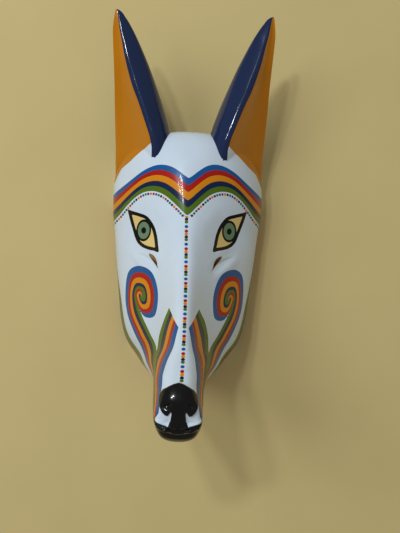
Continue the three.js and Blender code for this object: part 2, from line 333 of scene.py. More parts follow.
# The chart of the painter: down the middle of the face, and round from the middle
middle = plain[:, MIDDLE_COLUMN]
down = np.concatenate([[0], np.cumsum(np.linalg.norm(np.diff(middle, axis=0), axis=1))])
steps_round = np.linalg.norm(np.diff(plain, axis=1), axis=2)
cumulative = np.concatenate([np.zeros((HEAD_ROWS + 1, 1)), np.cumsum(steps_round, 1)], 1)
around = cumulative - cumulative[:, MIDDLE_COLUMN:MIDDLE_COLUMN + 1]
whole = cumulative[:, -1:]
around = np.where(around > whole / 2, whole - around, np.abs(around))
right_coil = 3.4 * smoothstep(25, 42, around) * (1 - smoothstep(66, 108, around)) * (plain[..., 0] > 0)
drift = 1.3 * np.tanh(plain[..., 0] / 8) + right_coil
chart = np.stack([around - drift, np.broadcast_to(down[:, None], around.shape)], -1).reshape(-1, 2)
flat = plain.reshape(-1, 3)
side_x, up_y, out_z = np.abs(flat[:, 0]), flat[:, 1], flat[:, 2]
painted_y = up_y - HAND_LIFT * smoothstep(0, 24, flat[:, 0])

# The brow band's height by the distance from the middle, and where the rim's stripes begin
# and how wide each is, by height
BROW_TOP = [
    (0, 87.0), (3, 88.8), (8, 92.5), (15, 97.0), (22, 99.6), (30, 100.3), (38, 98.6),
    (48, 94.0), (58, 87.5), (68, 81.3), (78, 76.0), (90, 71.0),
]
BROW_FOOT = [
    (0, 49.5), (3, 51.6), (8, 56.5), (15, 62.8), (22, 68.6), (30, 72.6), (38, 73.9),
    (46, 72.6), (55, 67.5), (64, 59.5), (72, 51.5), (80, 45.5), (90, 40.0),
]
RIM_INSIDE = [
    (-140, 56), (-118, 63), (-100, 68), (-84, 58.5), (-70, 50), (-52, 45), (-35, 39),
    (-13, 30), (5, 25), (30, 22), (60, 22),
]
RIM_STRIPE = [(-120, 13), (-84, 11.5), (-52, 8.8), (-20, 6.0), (10, 4.7), (60, 4.6)]
BAND_STRIPES = 5


def brow_and_rim():
    """The number of stripe widths from the inner line of the band over the brow and round the rim."""
    top = smooth_curve(side_x, BROW_TOP)
    foot = smooth_curve(side_x, BROW_FOOT)
    over_brow = BAND_STRIPES * (painted_y - foot) / (top - foot)
    behind_rim = (smooth_curve(up_y, RIM_INSIDE) - out_z) / smooth_curve(up_y, RIM_STRIPE)
    both = np.hypot(np.maximum(over_brow, 0), np.maximum(behind_rim, 0))
    neither = np.maximum(over_brow, behind_rim)
    return np.where(both > 0, both, np.maximum(neither, -3))


def brow_dots():
    """How far points lie along the row of dots under the brow, and off it."""
    xs = np.linspace(0, 90, 361)
    ys = smooth_curve(xs, BROW_FOOT)
    length = np.concatenate([[0], np.cumsum(np.hypot(np.diff(xs), np.diff(ys)))])
    foot = smooth_curve(side_x, BROW_FOOT)
    slope = (smooth_curve(side_x + 0.5, BROW_FOOT) - smooth_curve(side_x - 0.5, BROW_FOOT))
    below = (foot - painted_y) / np.sqrt(1 + slope ** 2) - 2.7
    along = np.interp(side_x - np.clip(below + 2.7, -4, 6) * slope / np.sqrt(1 + slope ** 2), xs, length)
    at_point = side_x < 1.5
    below = np.where(at_point, BROW_FOOT[0][1] - 3.2 - painted_y, np.where(along < 1.6, 6, below))
    along = np.where(at_point, side_x, along)
    return along, np.clip(below, -6, 6)


STRIPES = ("blue", "red", "yellow", "navy", "green")
PATH_STEPS = 6
STEM_LINES = 8
COILED_LINES = 7


def spiral_ribbons():
    """Five stripes which climb the muzzle and the cheek and coil up, as the six lines between them."""
    shares = np.array([0, 0.2, 0.38, 0.58, 0.79, 1])
    stem = [
        ((60, 316), (41, 316)), ((65, 303), (44, 303)), ((77, 289), (48, 289)),
        ((98, 273), (57.5, 274)), ((106, 258), (61, 257)), ((103.5, 247), (64, 249.5)),
        ((106, 235), (69.5, 240.5)), ((110.5, 219), (80.5, 219.5)),
    ]
    lines = [np.array(outer) + shares[:, None] * (np.array(inner) - np.array(outer)) for outer, inner in stem]
    eye = np.array([75.0, 204.5])
    coil = [
        (0, 34.0, 26.8, 22.4, 17.6, 13.2, 10.8),
        (45, 30.5, 24.0, 19.2, 14.2, 10.6, 7.8),
        (90, 28.5, 22.0, 16.8, 11.4, 8.2, 5.4),
        (135, 30.5, 23.6, 17.4, 11.6, 8.4, 5.3),
        (180, 31.4, 24.4, 17.8, 12.0, 8.9, 5.6),
        (225, 27.5, 21.2, 15.8, 10.8, 7.6, 4.2),
        (270, 20.5, 16.6, 13.0, 8.7, 5.8, 2.8),
        (305, 14.4, 14.2, 11.0, 6.6, 3.8, 1.2),
        (360, 10.9, 10.8, 8.2, 4.2, 1.8, 0.4),
        (410, 7.6, 7.5, 4.6, 1.8, 0.8, 0.2),
        (450, 5.6, 5.4, 2.8, 1.0, 0.4, 0.1),
        (500, 3.8, 3.7, 2.0, 0.6, 0.3, 0.1),
        (540, 2.2, 2.1, 1.6, 0.5, 0.2, 0.1),
    ]
    for degrees, *radii in coil:
        angle = math.radians(degrees)
        aim = np.array([math.cos(angle), -math.sin(angle)])
        lean = np.array([-0.17 * abs(math.sin(angle)), 0.0])
        lines.append(eye + np.array(radii)[:, None] * (aim + lean))
    lines = np.array(lines)
    return [smooth_path(lines[:, k], PATH_STEPS) for k in range(len(shares))]


def leaf_ribbons():
    """Five stripes down the bridge of the nose, cut off aslant at their top."""
    shares = np.array([0, 0.23, 0.41, 0.62, 0.83, 1])
    rows = [
        ((5.0, 240.5), (22.8, 219.0)), ((7.4, 249), (34.5, 230.0)), ((10.8, 262), (46, 242.0)),
        ((14.6, 274), (56, 254)), ((17.6, 286), (61, 263)), ((19.8, 297), (57.5, 274)),
        ((20.6, 303), (48, 289)),
        ((22.0, 309), (44, 303)), ((25, 316), (41, 316)),
    ]
    broad_blue = np.array([0, 0.38, 0.56, 0.76, 0.9, 1])
    lines = []
    for row, (outer, inner) in enumerate(rows):
        low = max(row - 5, 0) / 3
        share = shares + (broad_blue - shares) * low
        lines.append(np.array(outer) + share[:, None] * (np.array(inner) - np.array(outer)))
    lines = np.array(lines)
    return [smooth_path(lines[:, k], PATH_STEPS) for k in range(len(shares))]


def ribbon_fields():
    """How deep points lie in each of the five stripes, and in any of them."""
    near = (chart[:, 1] > 160) & (chart[:, 1] < 325)
    spiral, leaf = spiral_ribbons(), leaf_ribbons()
    fields = [np.full(len(chart), -FAR) for _ in STRIPES]
    for lines in (spiral, leaf):
        for k, field in enumerate(fields):
            outline = np.concatenate([lines[k], lines[k + 1][::-1]])
            field[near] = np.maximum(field[near], inside_distance(chart[near], outline))
    coil_end = PATH_STEPS * (STEM_LINES + COILED_LINES)
    around_coil = np.concatenate([spiral[0][:coil_end], spiral[5][:PATH_STEPS * STEM_LINES][::-1]])
    around_leaf = np.concatenate([leaf[0], leaf[5][::-1]])
    every = np.full(len(chart), -FAR)
    for outline in (around_coil, around_leaf):
        every[near] = np.maximum(every[near], inside_distance(chart[near], outline))
    return fields, every


EYE = [
    (62.8, 57.0), (55.5, 54.2), (48.5, 52.0), (41.0, 49.0), (34.6, 41.6), (30.2, 31.5), (27.8, 19.5),
    (27.0, 12.6), (32.5, 13.9), (38.8, 15.2), (46.0, 18.3), (51.6, 24.2), (55.6, 34.5), (59.6, 46.0),
]
IRIS_AT = (44.0, 34.6)
IRIS_HALF = (8.0, 11.2)
PUPIL_HALF = (2.7, 3.3)
PAD = [
    (-4, -95.0), (0, -94.8), (4.5, -96.0), (8.8, -98.2), (13.4, -101.2), (16.4, -105.2),
    (17.3, -110.2), (16.5, -115.5), (14.2, -119.5), (11.2, -122.4), (8.9, -122.7), (7.4, -120.6),
    (6.2, -118.8), (5.9, -121.0), (6.6, -127.0), (8.2, -131.0), (9.9, -132.6), (12.4, -133.0),
    (12.4, -136.8), (-4, -136.8),
]
MOUTH_ACROSS, MOUTH_BACK, MOUTH_TURN = 16.72, 4.2, math.radians(92)
LIP_WIDTH = 21.0
LIP_AT_CORNER = 5.0
UPPER_LIP = 0.6


def paint_fields():
    """How deep points lie in the eyes, the nose pad and the lips, and how far from the cut of the mouth."""
    front = out_z > 20
    xy = np.stack([side_x, painted_y], 1)
    eye = np.where(front, inside_distance(xy, smooth_path(EYE + EYE[:1], 5)[:-1]), -FAR)
    place, turn = places.ravel(), turns.ravel()
    pad = np.minimum(inside_distance(np.stack([side_x, up_y], 1), PAD), 10 * (place - 13.2))
    # The lower lip: the band on the chin's side of the cut between the lips
    aside = np.clip((MOUTH_ACROSS - place) / MOUTH_BACK, 0, 1) ** (1 / 1.9)
    reach_of_cut = MOUTH_TURN * (1 - (1 - aside) ** 7)
    from_chin = math.pi - np.abs(math.pi - np.mod(turn - 1.5 * math.pi, 2 * math.pi))
    chinwards = (reach_of_cut - from_chin) * np.maximum(side_x, 4) * np.where(place < MOUTH_ACROSS, 1, 0)
    from_cut = distance_to_path(flat, mouth_path())
    wide = LIP_AT_CORNER * smoothstep(12.2, 13.4, place)
    wide = wide + (LIP_WIDTH - LIP_AT_CORNER) * smoothstep(13.4, 15.4, place)
    lower = np.maximum(np.minimum(chinwards, wide - from_cut), 1.5 - from_cut)
    upper = UPPER_LIP * smoothstep(12.2, 13.2, place) - from_cut
    lip = np.where(chinwards > 0, lower, upper)
    return eye, pad, lip, from_cut


def mouth_path():
    """The cut between the lips, from one corner round the chin to the other."""
    q = np.linspace(-1, 1, 121)
    turn = 1.5 * math.pi - np.sign(q) * MOUTH_TURN * (1 - (1 - np.abs(q)) ** 7)
    return head_point(MOUTH_ACROSS - MOUTH_BACK * np.abs(q) ** 1.9, turn)


EAR_BASE = [
    (34, 124.5), (42.5, 120.5), (50.2, 115.8), (56, 111), (61.4, 106.5), (67, 103),
    (72, 100.2), (80, 88), (95, 78), (95, 150), (34, 150),
]
EAR_POINT = [
    (24, 141), (25.8, 134), (27.6, 127), (31, 116), (35.2, 106.6), (36.8, 113),
    (37.8, 121), (38.5, 127), (39, 150), (24, 150),
]


def ear_fields():
    """How deep points of the head lie in the ears' yellow and navy."""
    xy = np.stack([side_x, up_y], 1)
    front = out_z - 24
    return np.minimum(inside_distance(xy, EAR_BASE), front), np.minimum(inside_distance(xy, EAR_POINT), front)


brow = brow_and_rim()
dot_along, dot_off = brow_dots()
ribbons, ribbon_any = ribbon_fields()
eye_in, pad_in, lip_in, from_cut = paint_fields()
black_in = np.maximum(pad_in, lip_in + 0.1)
ear_base_in, ear_point_in = ear_fields()
nose_line = np.where(turns.ravel() < math.pi, np.repeat(down, HEAD_COLUMNS + 1), 0)


# Relief cut into the head

def normals_of(grid):
    """The outward normals of the head's grid."""
    du = np.gradient(grid, axis=1)
    dv = np.gradient(grid, axis=0)
    n = np.cross(dv, du)
    n = n * np.sign(np.sum(n[HEAD_ROWS // 2, MIDDLE_COLUMN] * np.array([0, 0.5, 1.0])))
    size = np.linalg.norm(n, axis=2, keepdims=True)
    return n / np.maximum(size, 1e-9)


def nose_relief():
    """The raised nose pad, the cut between rolled lips, and the nostrils."""
    pad = pad_in.reshape(places.shape)
    beside_pad = (1 - smoothstep(-0.9, 0.9, pad)) * (1 - smoothstep(2.0, 9.0, -pad))
    lift = -PAD_STEP * smoothstep(11.5, 13.0, places) * beside_pad
    beside_cut = from_cut.reshape(places.shape)
    rolled_lip = 1.3 * smoothstep(14.8, 16.0, places) * np.exp(-((beside_cut - 3.6) / 1.7) ** 2)
    lift = lift - MOUTH_CUT * (1.7 * np.exp(-(beside_cut / 1.3) ** 2) - rolled_lip)
    for side in (-1, 1):
        turn = math.radians(90 + side * NOSTRIL_TURN)
        centre = head_point(np.array(NOSTRIL_SLICE), np.array(turn))
        reach = np.linalg.norm((plain - centre) / np.array([1.0, 0.85, 1.0]), axis=2)
        lift = lift - NOSTRIL_DEPTH * hump(reach / (NOSTRIL_RADIUS * 1.4))
    return lift


def gouge_marks():
    """The slight waves that the gouge leaves under the paint."""
    x, y, z = plain[..., 0], plain[..., 1], plain[..., 2]
    broad = np.sin(x / 11 + 1.3 * np.sin(y / 17)) * np.sin(y / 13 + 0.7 * np.sin(z / 19))
    fine = np.sin(y / 7.3 + x / 9.1) * np.sin(x / 6.7 - z / 8.9)
    return GOUGE_DEPTH * (broad + 0.6 * fine)


def carved_head():
    """The head's grid with its hollows, lids, nose, mouth and gouge marks cut in."""
    grid = plain.copy()
    off = (socket_depth(grid[..., 0], grid[..., 1]) + lid_depth(grid[..., 0], grid[..., 1])
           + lid_crease(grid[..., 0], grid[..., 1]))
    grid[..., 2] -= np.where(turns < math.pi, off * np.sin(turns), 0)
    grid[..., 0] -= NOSE_LEAN * (smoothstep(10.8, 13.2, places) - 0.4 * smoothstep(13.8, 15.2, places))
    rounded = np.minimum(places, LAST_SLICE - places)
    lift = nose_relief() + gouge_marks() * smoothstep(0, 0.8, rounded) - UNDER_SOLID
    lift = lift * smoothstep(0.0, 0.25, rounded)
    grid = grid + normals_of(plain) * lift[..., None]
    grid[:, -1] = grid[:, 0]
    grid[0] = plain[0]
    grid[-1] = grid[-1].mean(0)
    return grid


def ear_section(place, count_face, count_back, side):
    """One slice of an ear: down its scooped face from the front edge, then round its back to that edge."""
    height, ex, ez, ox, oz, inner, rx, rz = smooth_rows(EAR_SLICES, place)
    height = 1 - (1 - height) * min(place, 1)
    edge = np.array([ex * EAR_REACH, ez * FACE_DEPTH])
    outer = np.array([ox * EAR_REACH, oz * FACE_DEPTH])
    rear = np.array([rx * EAR_REACH, rz * FACE_DEPTH])
    belly = np.array([edge[0] - (edge[0] - inner * EAR_REACH) * 2.3, rear[1] + (edge[1] - rear[1]) * 0.72])
    chord = outer - edge
    length = np.linalg.norm(chord)
    way = np.linspace(0, 1, count_face, endpoint=False)[:, None]
    scoop = min(EAR_SCOOP, length / 7) * np.sin(np.pi * way)
    normal = np.array([chord[1], -chord[0]]) / max(length, 1e-9)
    face = edge + chord * way + normal * scoop
    t = 1 - (1 - np.linspace(0, 1, count_back, endpoint=False)[:, None]) ** 1.8
    back = (1 - t) ** 3 * outer + 3 * (1 - t) ** 2 * t * rear + 3 * (1 - t) * t ** 2 * belly + t ** 3 * edge
    ring = np.concatenate([face, back])
    # The knife leaves a narrow facet beside the front edge, which lies a little behind its far side
    from_edge = np.linalg.norm(ring - edge, axis=1)
    wide = max(min(FACET_WIDTH, 0.16 * length), 0.01)
    ring[:, 1] -= 0.7 * wide * np.maximum(1 - from_edge / wide, 0)
    for _ in range(2):
        ring = 0.5 * ring + 0.25 * np.roll(ring, 1, 0) + 0.25 * np.roll(ring, -1, 0)
    ring = np.concatenate([ring, ring[:1]])
    return np.column_stack([side * ring[:, 0], np.full(len(ring), height * EAR_TOP), ring[:, 1]])


# Materials

def linear(red, green, blue):
    """A colour from its 0 to 255 parts."""
    def one(c):
        c /= 255
        return c / 12.92 if c <= 0.04045 else ((c + 0.055) / 1.055) ** 2.4
    return (one(red), one(green), one(blue), 1.0)


PAINT = {
    "white": linear(216, 232, 250),
    "blue": linear(24, 92, 160),
    "red": linear(176, 30, 24),
    "yellow": linear(222, 140, 22),
    "navy": linear(22, 40, 78),
    "green": linear(86, 116, 26),
    "black": linear(14, 15, 18),
    "cream": linear(234, 206, 136),
    "iris": linear(112, 140, 112),
    "orange": linear(224, 120, 34),
}


EAR_YELLOW = linear(196, 122, 4)
EAR_NAVY = linear(28, 44, 82)


class Tree:
    """Short calls for the nodes of one tree."""

    def __init__(self, tree):
        self.tree = tree

    def node(self, kind, **values):
        node = self.tree.nodes.new(kind)
        for key, value in values.items():
            setattr(node, key, value)
        return node

    def join(self, source, socket):
        if isinstance(source, (int, float, tuple)):
            socket.default_value = source
        else:
            self.tree.links.new(source, socket)

    def math(self, operation, *inputs, clamp=False):
        node = self.node("ShaderNodeMath", operation=operation, use_clamp=clamp)
        for source, socket in zip(inputs, node.inputs):
            self.join(source, socket)
        return node.outputs[0]

    def mix(self, share, first, second):
        node = self.node("ShaderNodeMix", data_type="RGBA")
        self.join(share, node.inputs[0])
        self.join(first, node.inputs[6])
        self.join(second, node.inputs[7])
        return node.outputs[2]

    def steps(self, share, stops):
        node = self.node("ShaderNodeValToRGB")
        ramp = node.color_ramp
        ramp.interpolation = "CONSTANT"
        while len(ramp.elements) < len(stops):
            ramp.elements.new(0.5)
        for element, (position, color) in zip(ramp.elements, stops):
            element.position = position
            element.color = color
        self.join(share, node.inputs[0])
        return node.outputs[0]

    def value(self, name):
        return self.node("ShaderNodeAttribute", attribute_name=name).outputs["Fac"]

    def place(self):
        return self.node("ShaderNodeTexCoord").outputs["Object"]

    def parts(self, vector):
        split = self.node("ShaderNodeSeparateXYZ")
        self.join(vector, split.inputs[0])
        return split.outputs

    def noise(self, vector, scale, detail=2):
        node = self.node("ShaderNodeTexNoise")
        node.inputs["Scale"].default_value = scale
        node.inputs["Detail"].default_value = detail
        self.join(vector, node.inputs["Vector"])
        return node.outputs["Fac"]

    def bump(self, height, strength, distance):
        node = self.node("ShaderNodeBump")
        node.inputs["Strength"].default_value = strength
        node.inputs["Distance"].default_value = distance
        self.join(height, node.inputs["Height"])
        return node.outputs[0]

    def both(self, first, second):
        return self.math("MULTIPLY", first, second)

    def above(self, value, limit):
        return self.math("GREATER_THAN", value, limit)

    def under(self, value, limit):
        return self.math("LESS_THAN", value, limit)

    def length(self, first, second):
        squares = self.math("ADD", self.both(first, first), self.both(second, second))
        return self.math("SQRT", squares)


def enamel_group():
    """Brushed-on gloss paint: gives a slightly uneven colour, a roughness and a normal."""
    group = bpy.data.node_groups.new("enamel", "ShaderNodeTree")
    face = group.interface
    face.new_socket("Paint", in_out="INPUT", socket_type="NodeSocketColor")
    face.new_socket("Gloss", in_out="INPUT", socket_type="NodeSocketFloat")
    face.new_socket("Brush", in_out="INPUT", socket_type="NodeSocketFloat")
    face.new_socket("Color", in_out="OUTPUT", socket_type="NodeSocketColor")
    face.new_socket("Roughness", in_out="OUTPUT", socket_type="NodeSocketFloat")
    face.new_socket("Normal", in_out="OUTPUT", socket_type="NodeSocketVector")
    t = Tree(group)
    given = t.node("NodeGroupInput").outputs
    result = t.node("NodeGroupOutput").inputs
    place = t.place()
    broad = t.noise(place, 26, 3)
    fine = t.noise(place, 240, 4)
    shade = t.math("ADD", t.both(broad, 0.16), 0.92)
    tinted = t.node("ShaderNodeVectorMath", operation="SCALE")
    t.join(given["Paint"], tinted.inputs[0])
    t.join(shade, tinted.inputs["Scale"])
    t.join(tinted.outputs[0], result["Color"])
    uneven = t.both(t.math("SUBTRACT", fine, 0.5), 0.12)
    t.join(t.math("ADD", given["Gloss"], uneven), result["Roughness"])
    height = t.math("ADD", broad, t.both(fine, given["Brush"]))
    t.join(t.bump(height, 0.16, 0.0012), result["Normal"])
    return group


enamel = enamel_group()


def enamel_material(name, paint, gloss, brush, coat=0.6):
    """An enamelled material; paint and coat are values, or functions of its node tree which give them."""
    material = bpy.data.materials.new(name)
    material.use_nodes = True
    t = Tree(material.node_tree)
    shader = material.node_tree.nodes["Principled BSDF"]
    group = t.node("ShaderNodeGroup", node_tree=enamel)
    t.join(paint(t) if callable(paint) else paint, group.inputs["Paint"])
    group.inputs["Gloss"].default_value = gloss
    group.inputs["Brush"].default_value = brush
    t.join(group.outputs["Color"], shader.inputs["Base Color"])
    t.join(group.outputs["Roughness"], shader.inputs["Roughness"])
    t.join(group.outputs["Normal"], shader.inputs["Normal"])
    shader.inputs["Specular IOR Level"].default_value = 0.2
    t.join(coat(t) if callable(coat) else coat, shader.inputs["Coat Weight"])
    shader.inputs["Coat Roughness"].default_value = 0.05
    return material


# The dots, in millimetres: under the brow, and down the nose in groups of five
BROW_DOT_PITCH, BROW_DOT_RADIUS = 3.05, 1.3
BROW_DOT_COLORS = ("orange", "navy", "green", "blue", "red")
NOSE_DOTS_FROM, NOSE_DOTS_TO, NOSE_DOT_RADIUS = 122.5, 300.0, 1.75
NOSE_GROUP_START, NOSE_GROUP_LENGTH = 133.5, 18.55
NOSE_GROUP = [(0.0, "blue"), (4.75, "red"), (7.85, "yellow"), (10.9, "navy"), (13.75, "green")]
EYE_RIM, IRIS_RIM_AT, IRIS_INNER = 3.4, 1.6, 0.78
BAND_STARTS = [(0, "green"), (0.205, "navy"), (0.4, "yellow"), (0.62, "red"), (0.805, "blue")]


def paint_band(t, color):
    """The five stripes over the brow and round the rim, counted from the green one."""
    band = t.value("brow")
    inside = t.both(t.above(band, 0.0), t.under(band, float(BAND_STRIPES)))
    striped = t.steps(t.math("DIVIDE", band, float(BAND_STRIPES)), [(p, PAINT[c]) for p, c in BAND_STARTS])
    return t.mix(inside, color, striped)


def paint_brow_dots(t, color):
    along, off = t.value("dot_along"), t.value("dot_off")
    cell = t.math("ROUND", t.math("DIVIDE", along, BROW_DOT_PITCH))
    away = t.math("SUBTRACT", along, t.both(cell, BROW_DOT_PITCH))
    dot = t.under(t.length(away, off), BROW_DOT_RADIUS)
    count = len(BROW_DOT_COLORS)
    turn = t.math("DIVIDE", t.math("MODULO", t.math("ADD", cell, 0.5), float(count)), float(count))
    dotted = t.steps(turn, [(k / count, PAINT[name]) for k, name in enumerate(BROW_DOT_COLORS)])
    return t.mix(dot, color, dotted)


def paint_nose_dots(t, color, place):
    """Dots down the nose, in groups with a blue one by itself."""
    line = t.value("nose_line")
    phase = t.math("SUBTRACT", line, NOSE_GROUP_START)
    group = t.math("FLOOR", t.math("DIVIDE", t.math("ADD", phase, 2.4), NOSE_GROUP_LENGTH))
    local = t.math("SUBTRACT", phase, t.both(group, NOSE_GROUP_LENGTH))
    drift = t.both(t.math("SINE", t.both(t.math("SUBTRACT", line, 150.0), math.pi / 165.0)), 1.3)
    across = t.math("SUBTRACT", t.both(t.parts(place)[0], 1000.0), drift)
    near_line = t.both(t.above(line, NOSE_DOTS_FROM), t.under(line, NOSE_DOTS_TO))
    for at, name in NOSE_GROUP:
        gap = t.both(t.math("SUBTRACT", local, at), 1.05)
        spot = t.both(t.under(t.length(gap, across), NOSE_DOT_RADIUS), near_line)
        color = t.mix(spot, color, PAINT[name])
    return color


def paint_ribbons(t, color):
    """The spirals and the stripes of the muzzle: the stripe that a point lies deepest in."""
    fields = [t.value(f"ribbon_{name}") for name in STRIPES]
    deepest = fields[0]
    chosen = PAINT[STRIPES[0]]
    for field, name in zip(fields[1:], STRIPES[1:]):
        chosen = t.mix(t.above(field, deepest), chosen, PAINT[name])
        deepest = t.math("MAXIMUM", deepest, field)
    shown = t.above(t.math("MAXIMUM", deepest, t.value("ribbon_any")), -0.12)
    return t.mix(shown, color, chosen)


def paint_eyes(t, color, eye):
    """A black rim round a cream eye, with a ringed iris and a pupil."""
    ring = t.value("iris_ring")
    color = t.mix(t.above(eye, 0.0), color, PAINT["black"])
    color = t.mix(t.above(eye, EYE_RIM), color, PAINT["cream"])
    in_eye = t.above(eye, IRIS_RIM_AT)
    color = t.mix(t.both(t.under(ring, 1.0), in_eye), color, PAINT["black"])
    color = t.mix(t.both(t.under(ring, IRIS_INNER), in_eye), color, PAINT["iris"])
    return t.mix(t.under(t.value("iris_pupil"), 1.0), color, PAINT["black"])


def face_paint(t):
    """The pattern on the white face, from the values that its points carry (millimetres)."""
    place = t.place()
    hand = t.both(t.math("SUBTRACT", t.noise(place, 160), 0.5), 0.5)

    def drawn(name):
        return t.math("ADD", t.value(name), hand)

    color = paint_band(t, PAINT["white"])
    color = paint_brow_dots(t, color)
    color = paint_nose_dots(t, color, place)
    color = paint_ribbons(t, color)
    color = paint_eyes(t, color, drawn("eye"))
    for name, paint in (("ear_base", EAR_YELLOW), ("ear_point", EAR_NAVY), ("black", PAINT["black"])):
        color = t.mix(t.above(drawn(name), 0.0), color, paint)
    return color


def face_coat(t):
    """The black of the nose and lips shines more than the rest."""
    return t.math("ADD", 0.12, t.both(t.above(t.value("black"), 0.0), 0.6))


def ear_scoop_paint(t):
    """Yellow down to the line where the head's own colours begin."""
    parts = t.parts(t.place())
    x = t.both(t.math("ABSOLUTE", parts[0]), 1000.0)
    y = t.math("SUBTRACT", t.both(parts[1], 1000.0), FACE_TO_PART.y * 1000)
    (x0, y0), (x1, y1) = EAR_BASE[0], EAR_BASE[2]
    slope = (y0 - y1) / (x1 - x0)
    below = t.under(t.math("ADD", y, t.both(x, slope)), y0 + slope * x0)
    below = t.both(below, t.under(x, 60.0))
    return t.mix(below, EAR_YELLOW, t.mix(t.under(x, 38.4), PAINT["white"], EAR_NAVY))


def wood_material(name, light, dark, polish):
    """Bare wood with gouge marks and grain along the face."""
    material = bpy.data.materials.new(name)
    material.use_nodes = True
    t = Tree(material.node_tree)
    shader = material.node_tree.nodes["Principled BSDF"]
    place = t.place()
    mapping = t.node("ShaderNodeMapping")
    mapping.inputs["Scale"].default_value = (90, 6, 90)
    t.join(place, mapping.inputs["Vector"])
    grain = t.noise(mapping.outputs[0], 3.0, 6)
    marks = t.node("ShaderNodeTexVoronoi", feature="SMOOTH_F1")
    marks.inputs["Scale"].default_value = 70
    t.join(place, marks.inputs["Vector"])
    t.join(t.mix(grain, light, dark), shader.inputs["Base Color"])
    t.join(t.math("ADD", t.both(grain, 0.2), polish), shader.inputs["Roughness"])
    height = t.math("ADD", marks.outputs["Distance"], t.both(grain, 0.3))
    t.join(t.bump(height, 0.5, 0.002), shader.inputs["Normal"])
    return material


face_enamel = enamel_material("painted face enamel", face_paint, 0.26, 0.12, face_coat)
navy_enamel = enamel_material("navy ear enamel", EAR_NAVY, 0.16, 0.1, 0.8)
yellow_enamel = enamel_material("yellow ear enamel", ear_scoop_paint, 0.3, 0.2, 0.4)
bare_wood = wood_material("bare gouged wood", linear(176, 132, 84), linear(128, 84, 46), 0.55)
# The slits' walls are the same bare wood painted lighter: painted light, which stands in for light falling
# into the slits.
slit_wood_painted_lighter = wood_material("slit edge wood painted lighter", linear(190, 152, 104), linear(140, 104, 64), 0.6)
MATERIALS = [face_enamel, navy_enamel, yellow_enamel, bare_wood, slit_wood_painted_lighter]
FACE_SLOT, NAVY_SLOT, YELLOW_SLOT, WOOD_SLOT, SLIT_SLOT = range(len(MATERIALS))


# The mask

def build_head():
    """The painted head, and the values that its points carry."""
    bm, u, v = sheet_grid(HEAD_COLUMNS, HEAD_ROWS)
    column = np.rint(u * HEAD_COLUMNS).astype(int)
    row = np.rint(v * HEAD_ROWS).astype(int)
    index = row * (HEAD_COLUMNS + 1) + column
    points = carved_head().reshape(-1, 3)[index]
    iris_x, iris_y = side_x - IRIS_AT[0], painted_y - IRIS_AT[1]
    layers = {
        "brow": brow, "dot_along": dot_along, "dot_off": dot_off, "nose_line": nose_line,
        "ribbon_any": ribbon_any, "eye": eye_in, "black": black_in,
        "ear_base": ear_base_in, "ear_point": ear_point_in,
        "iris_ring": np.minimum(np.hypot(iris_x / IRIS_HALF[0], iris_y / IRIS_HALF[1]), 9),
        "iris_pupil": np.minimum(np.hypot(iris_x / PUPIL_HALF[0], iris_y / PUPIL_HALF[1]), 9),
    }
    for name, field in zip(STRIPES, ribbons):
        layers[f"ribbon_{name}"] = field
    layers["head_share"] = np.ones(len(side_x))
    carried = {key: values[index] for key, values in layers.items()}
    return finish_form("coyote_mask_carving", bm, points, lambda face: FACE_SLOT, carried), layers


def build_ear(side):
    """An ear: yellow down its scooped face, and navy round its back."""
    face_count, back_count, rows = 22, 48, 90
    columns = face_count + back_count
    bm, u, v = sheet_grid(columns, rows)
    column = np.rint(u * columns).astype(int)
    row = np.rint(v * rows).astype(int)
    rings = []
    for k in range(rows + 1):
        place = min(k / rows * 1.06, 1) * (len(EAR_SLICES) - 1)
        ring = ear_section(place, face_count, back_count, side)
        if k == rows:
            ring[:, 0], ring[:, 2] = side * 0.62 * EAR_REACH, 0.22 * FACE_DEPTH
        if k == 0:
            ring[:] = ring.mean(0)
        rings.append(ring)
    points = np.array(rings)[row, column]
    slots = {}
    for face in bm.faces:
        middle_u = (face.calc_center_median().x + 1) / 2
        slots[face.index] = YELLOW_SLOT if middle_u * columns < face_count else NAVY_SLOT
    return finish_form("ear", bm, points, lambda face: slots[face.index])


def build_hollow():
    """The room for the wearer's face, a wall's thickness inside the head."""
    columns, rows = 72, 90
    bm, u, v = sheet_grid(columns, rows)
    turn = np.where(u <= 0.75, u / 0.75 * math.pi, math.pi + (u - 0.75) / 0.25 * math.pi)
    place = 2.1 + 8.8 * v
    rounded = (1 - np.abs(2 * v - 1) ** 5) ** 0.5
    outside = head_point(place, turn)
    half = np.abs(head_point(place, np.zeros_like(place))[:, 0])
    centre = head_point(place, np.full_like(place, math.pi))
    centre[:, 0] = 0
    front = head_point(place, np.full_like(place, math.pi / 2))
    depth = np.minimum(front[:, 2], 0.6 * FACE_DEPTH + WALL) - WALL - centre[:, 2]
    scale = np.minimum(depth / (front[:, 2] - centre[:, 2]), 1) * rounded
    is_front = turn < math.pi
    points = centre + (outside - centre) * np.where(is_front, scale, rounded)[:, None]
    points[:, 0] = outside[:, 0] * (1 - WALL / half) * rounded
    points[:, 2] -= np.where(is_front, socket_depth(outside[:, 0], outside[:, 1]) * np.sin(turn) * rounded, 0)
    return finish_form("hollow", bm, points, lambda face: WOOD_SLOT)


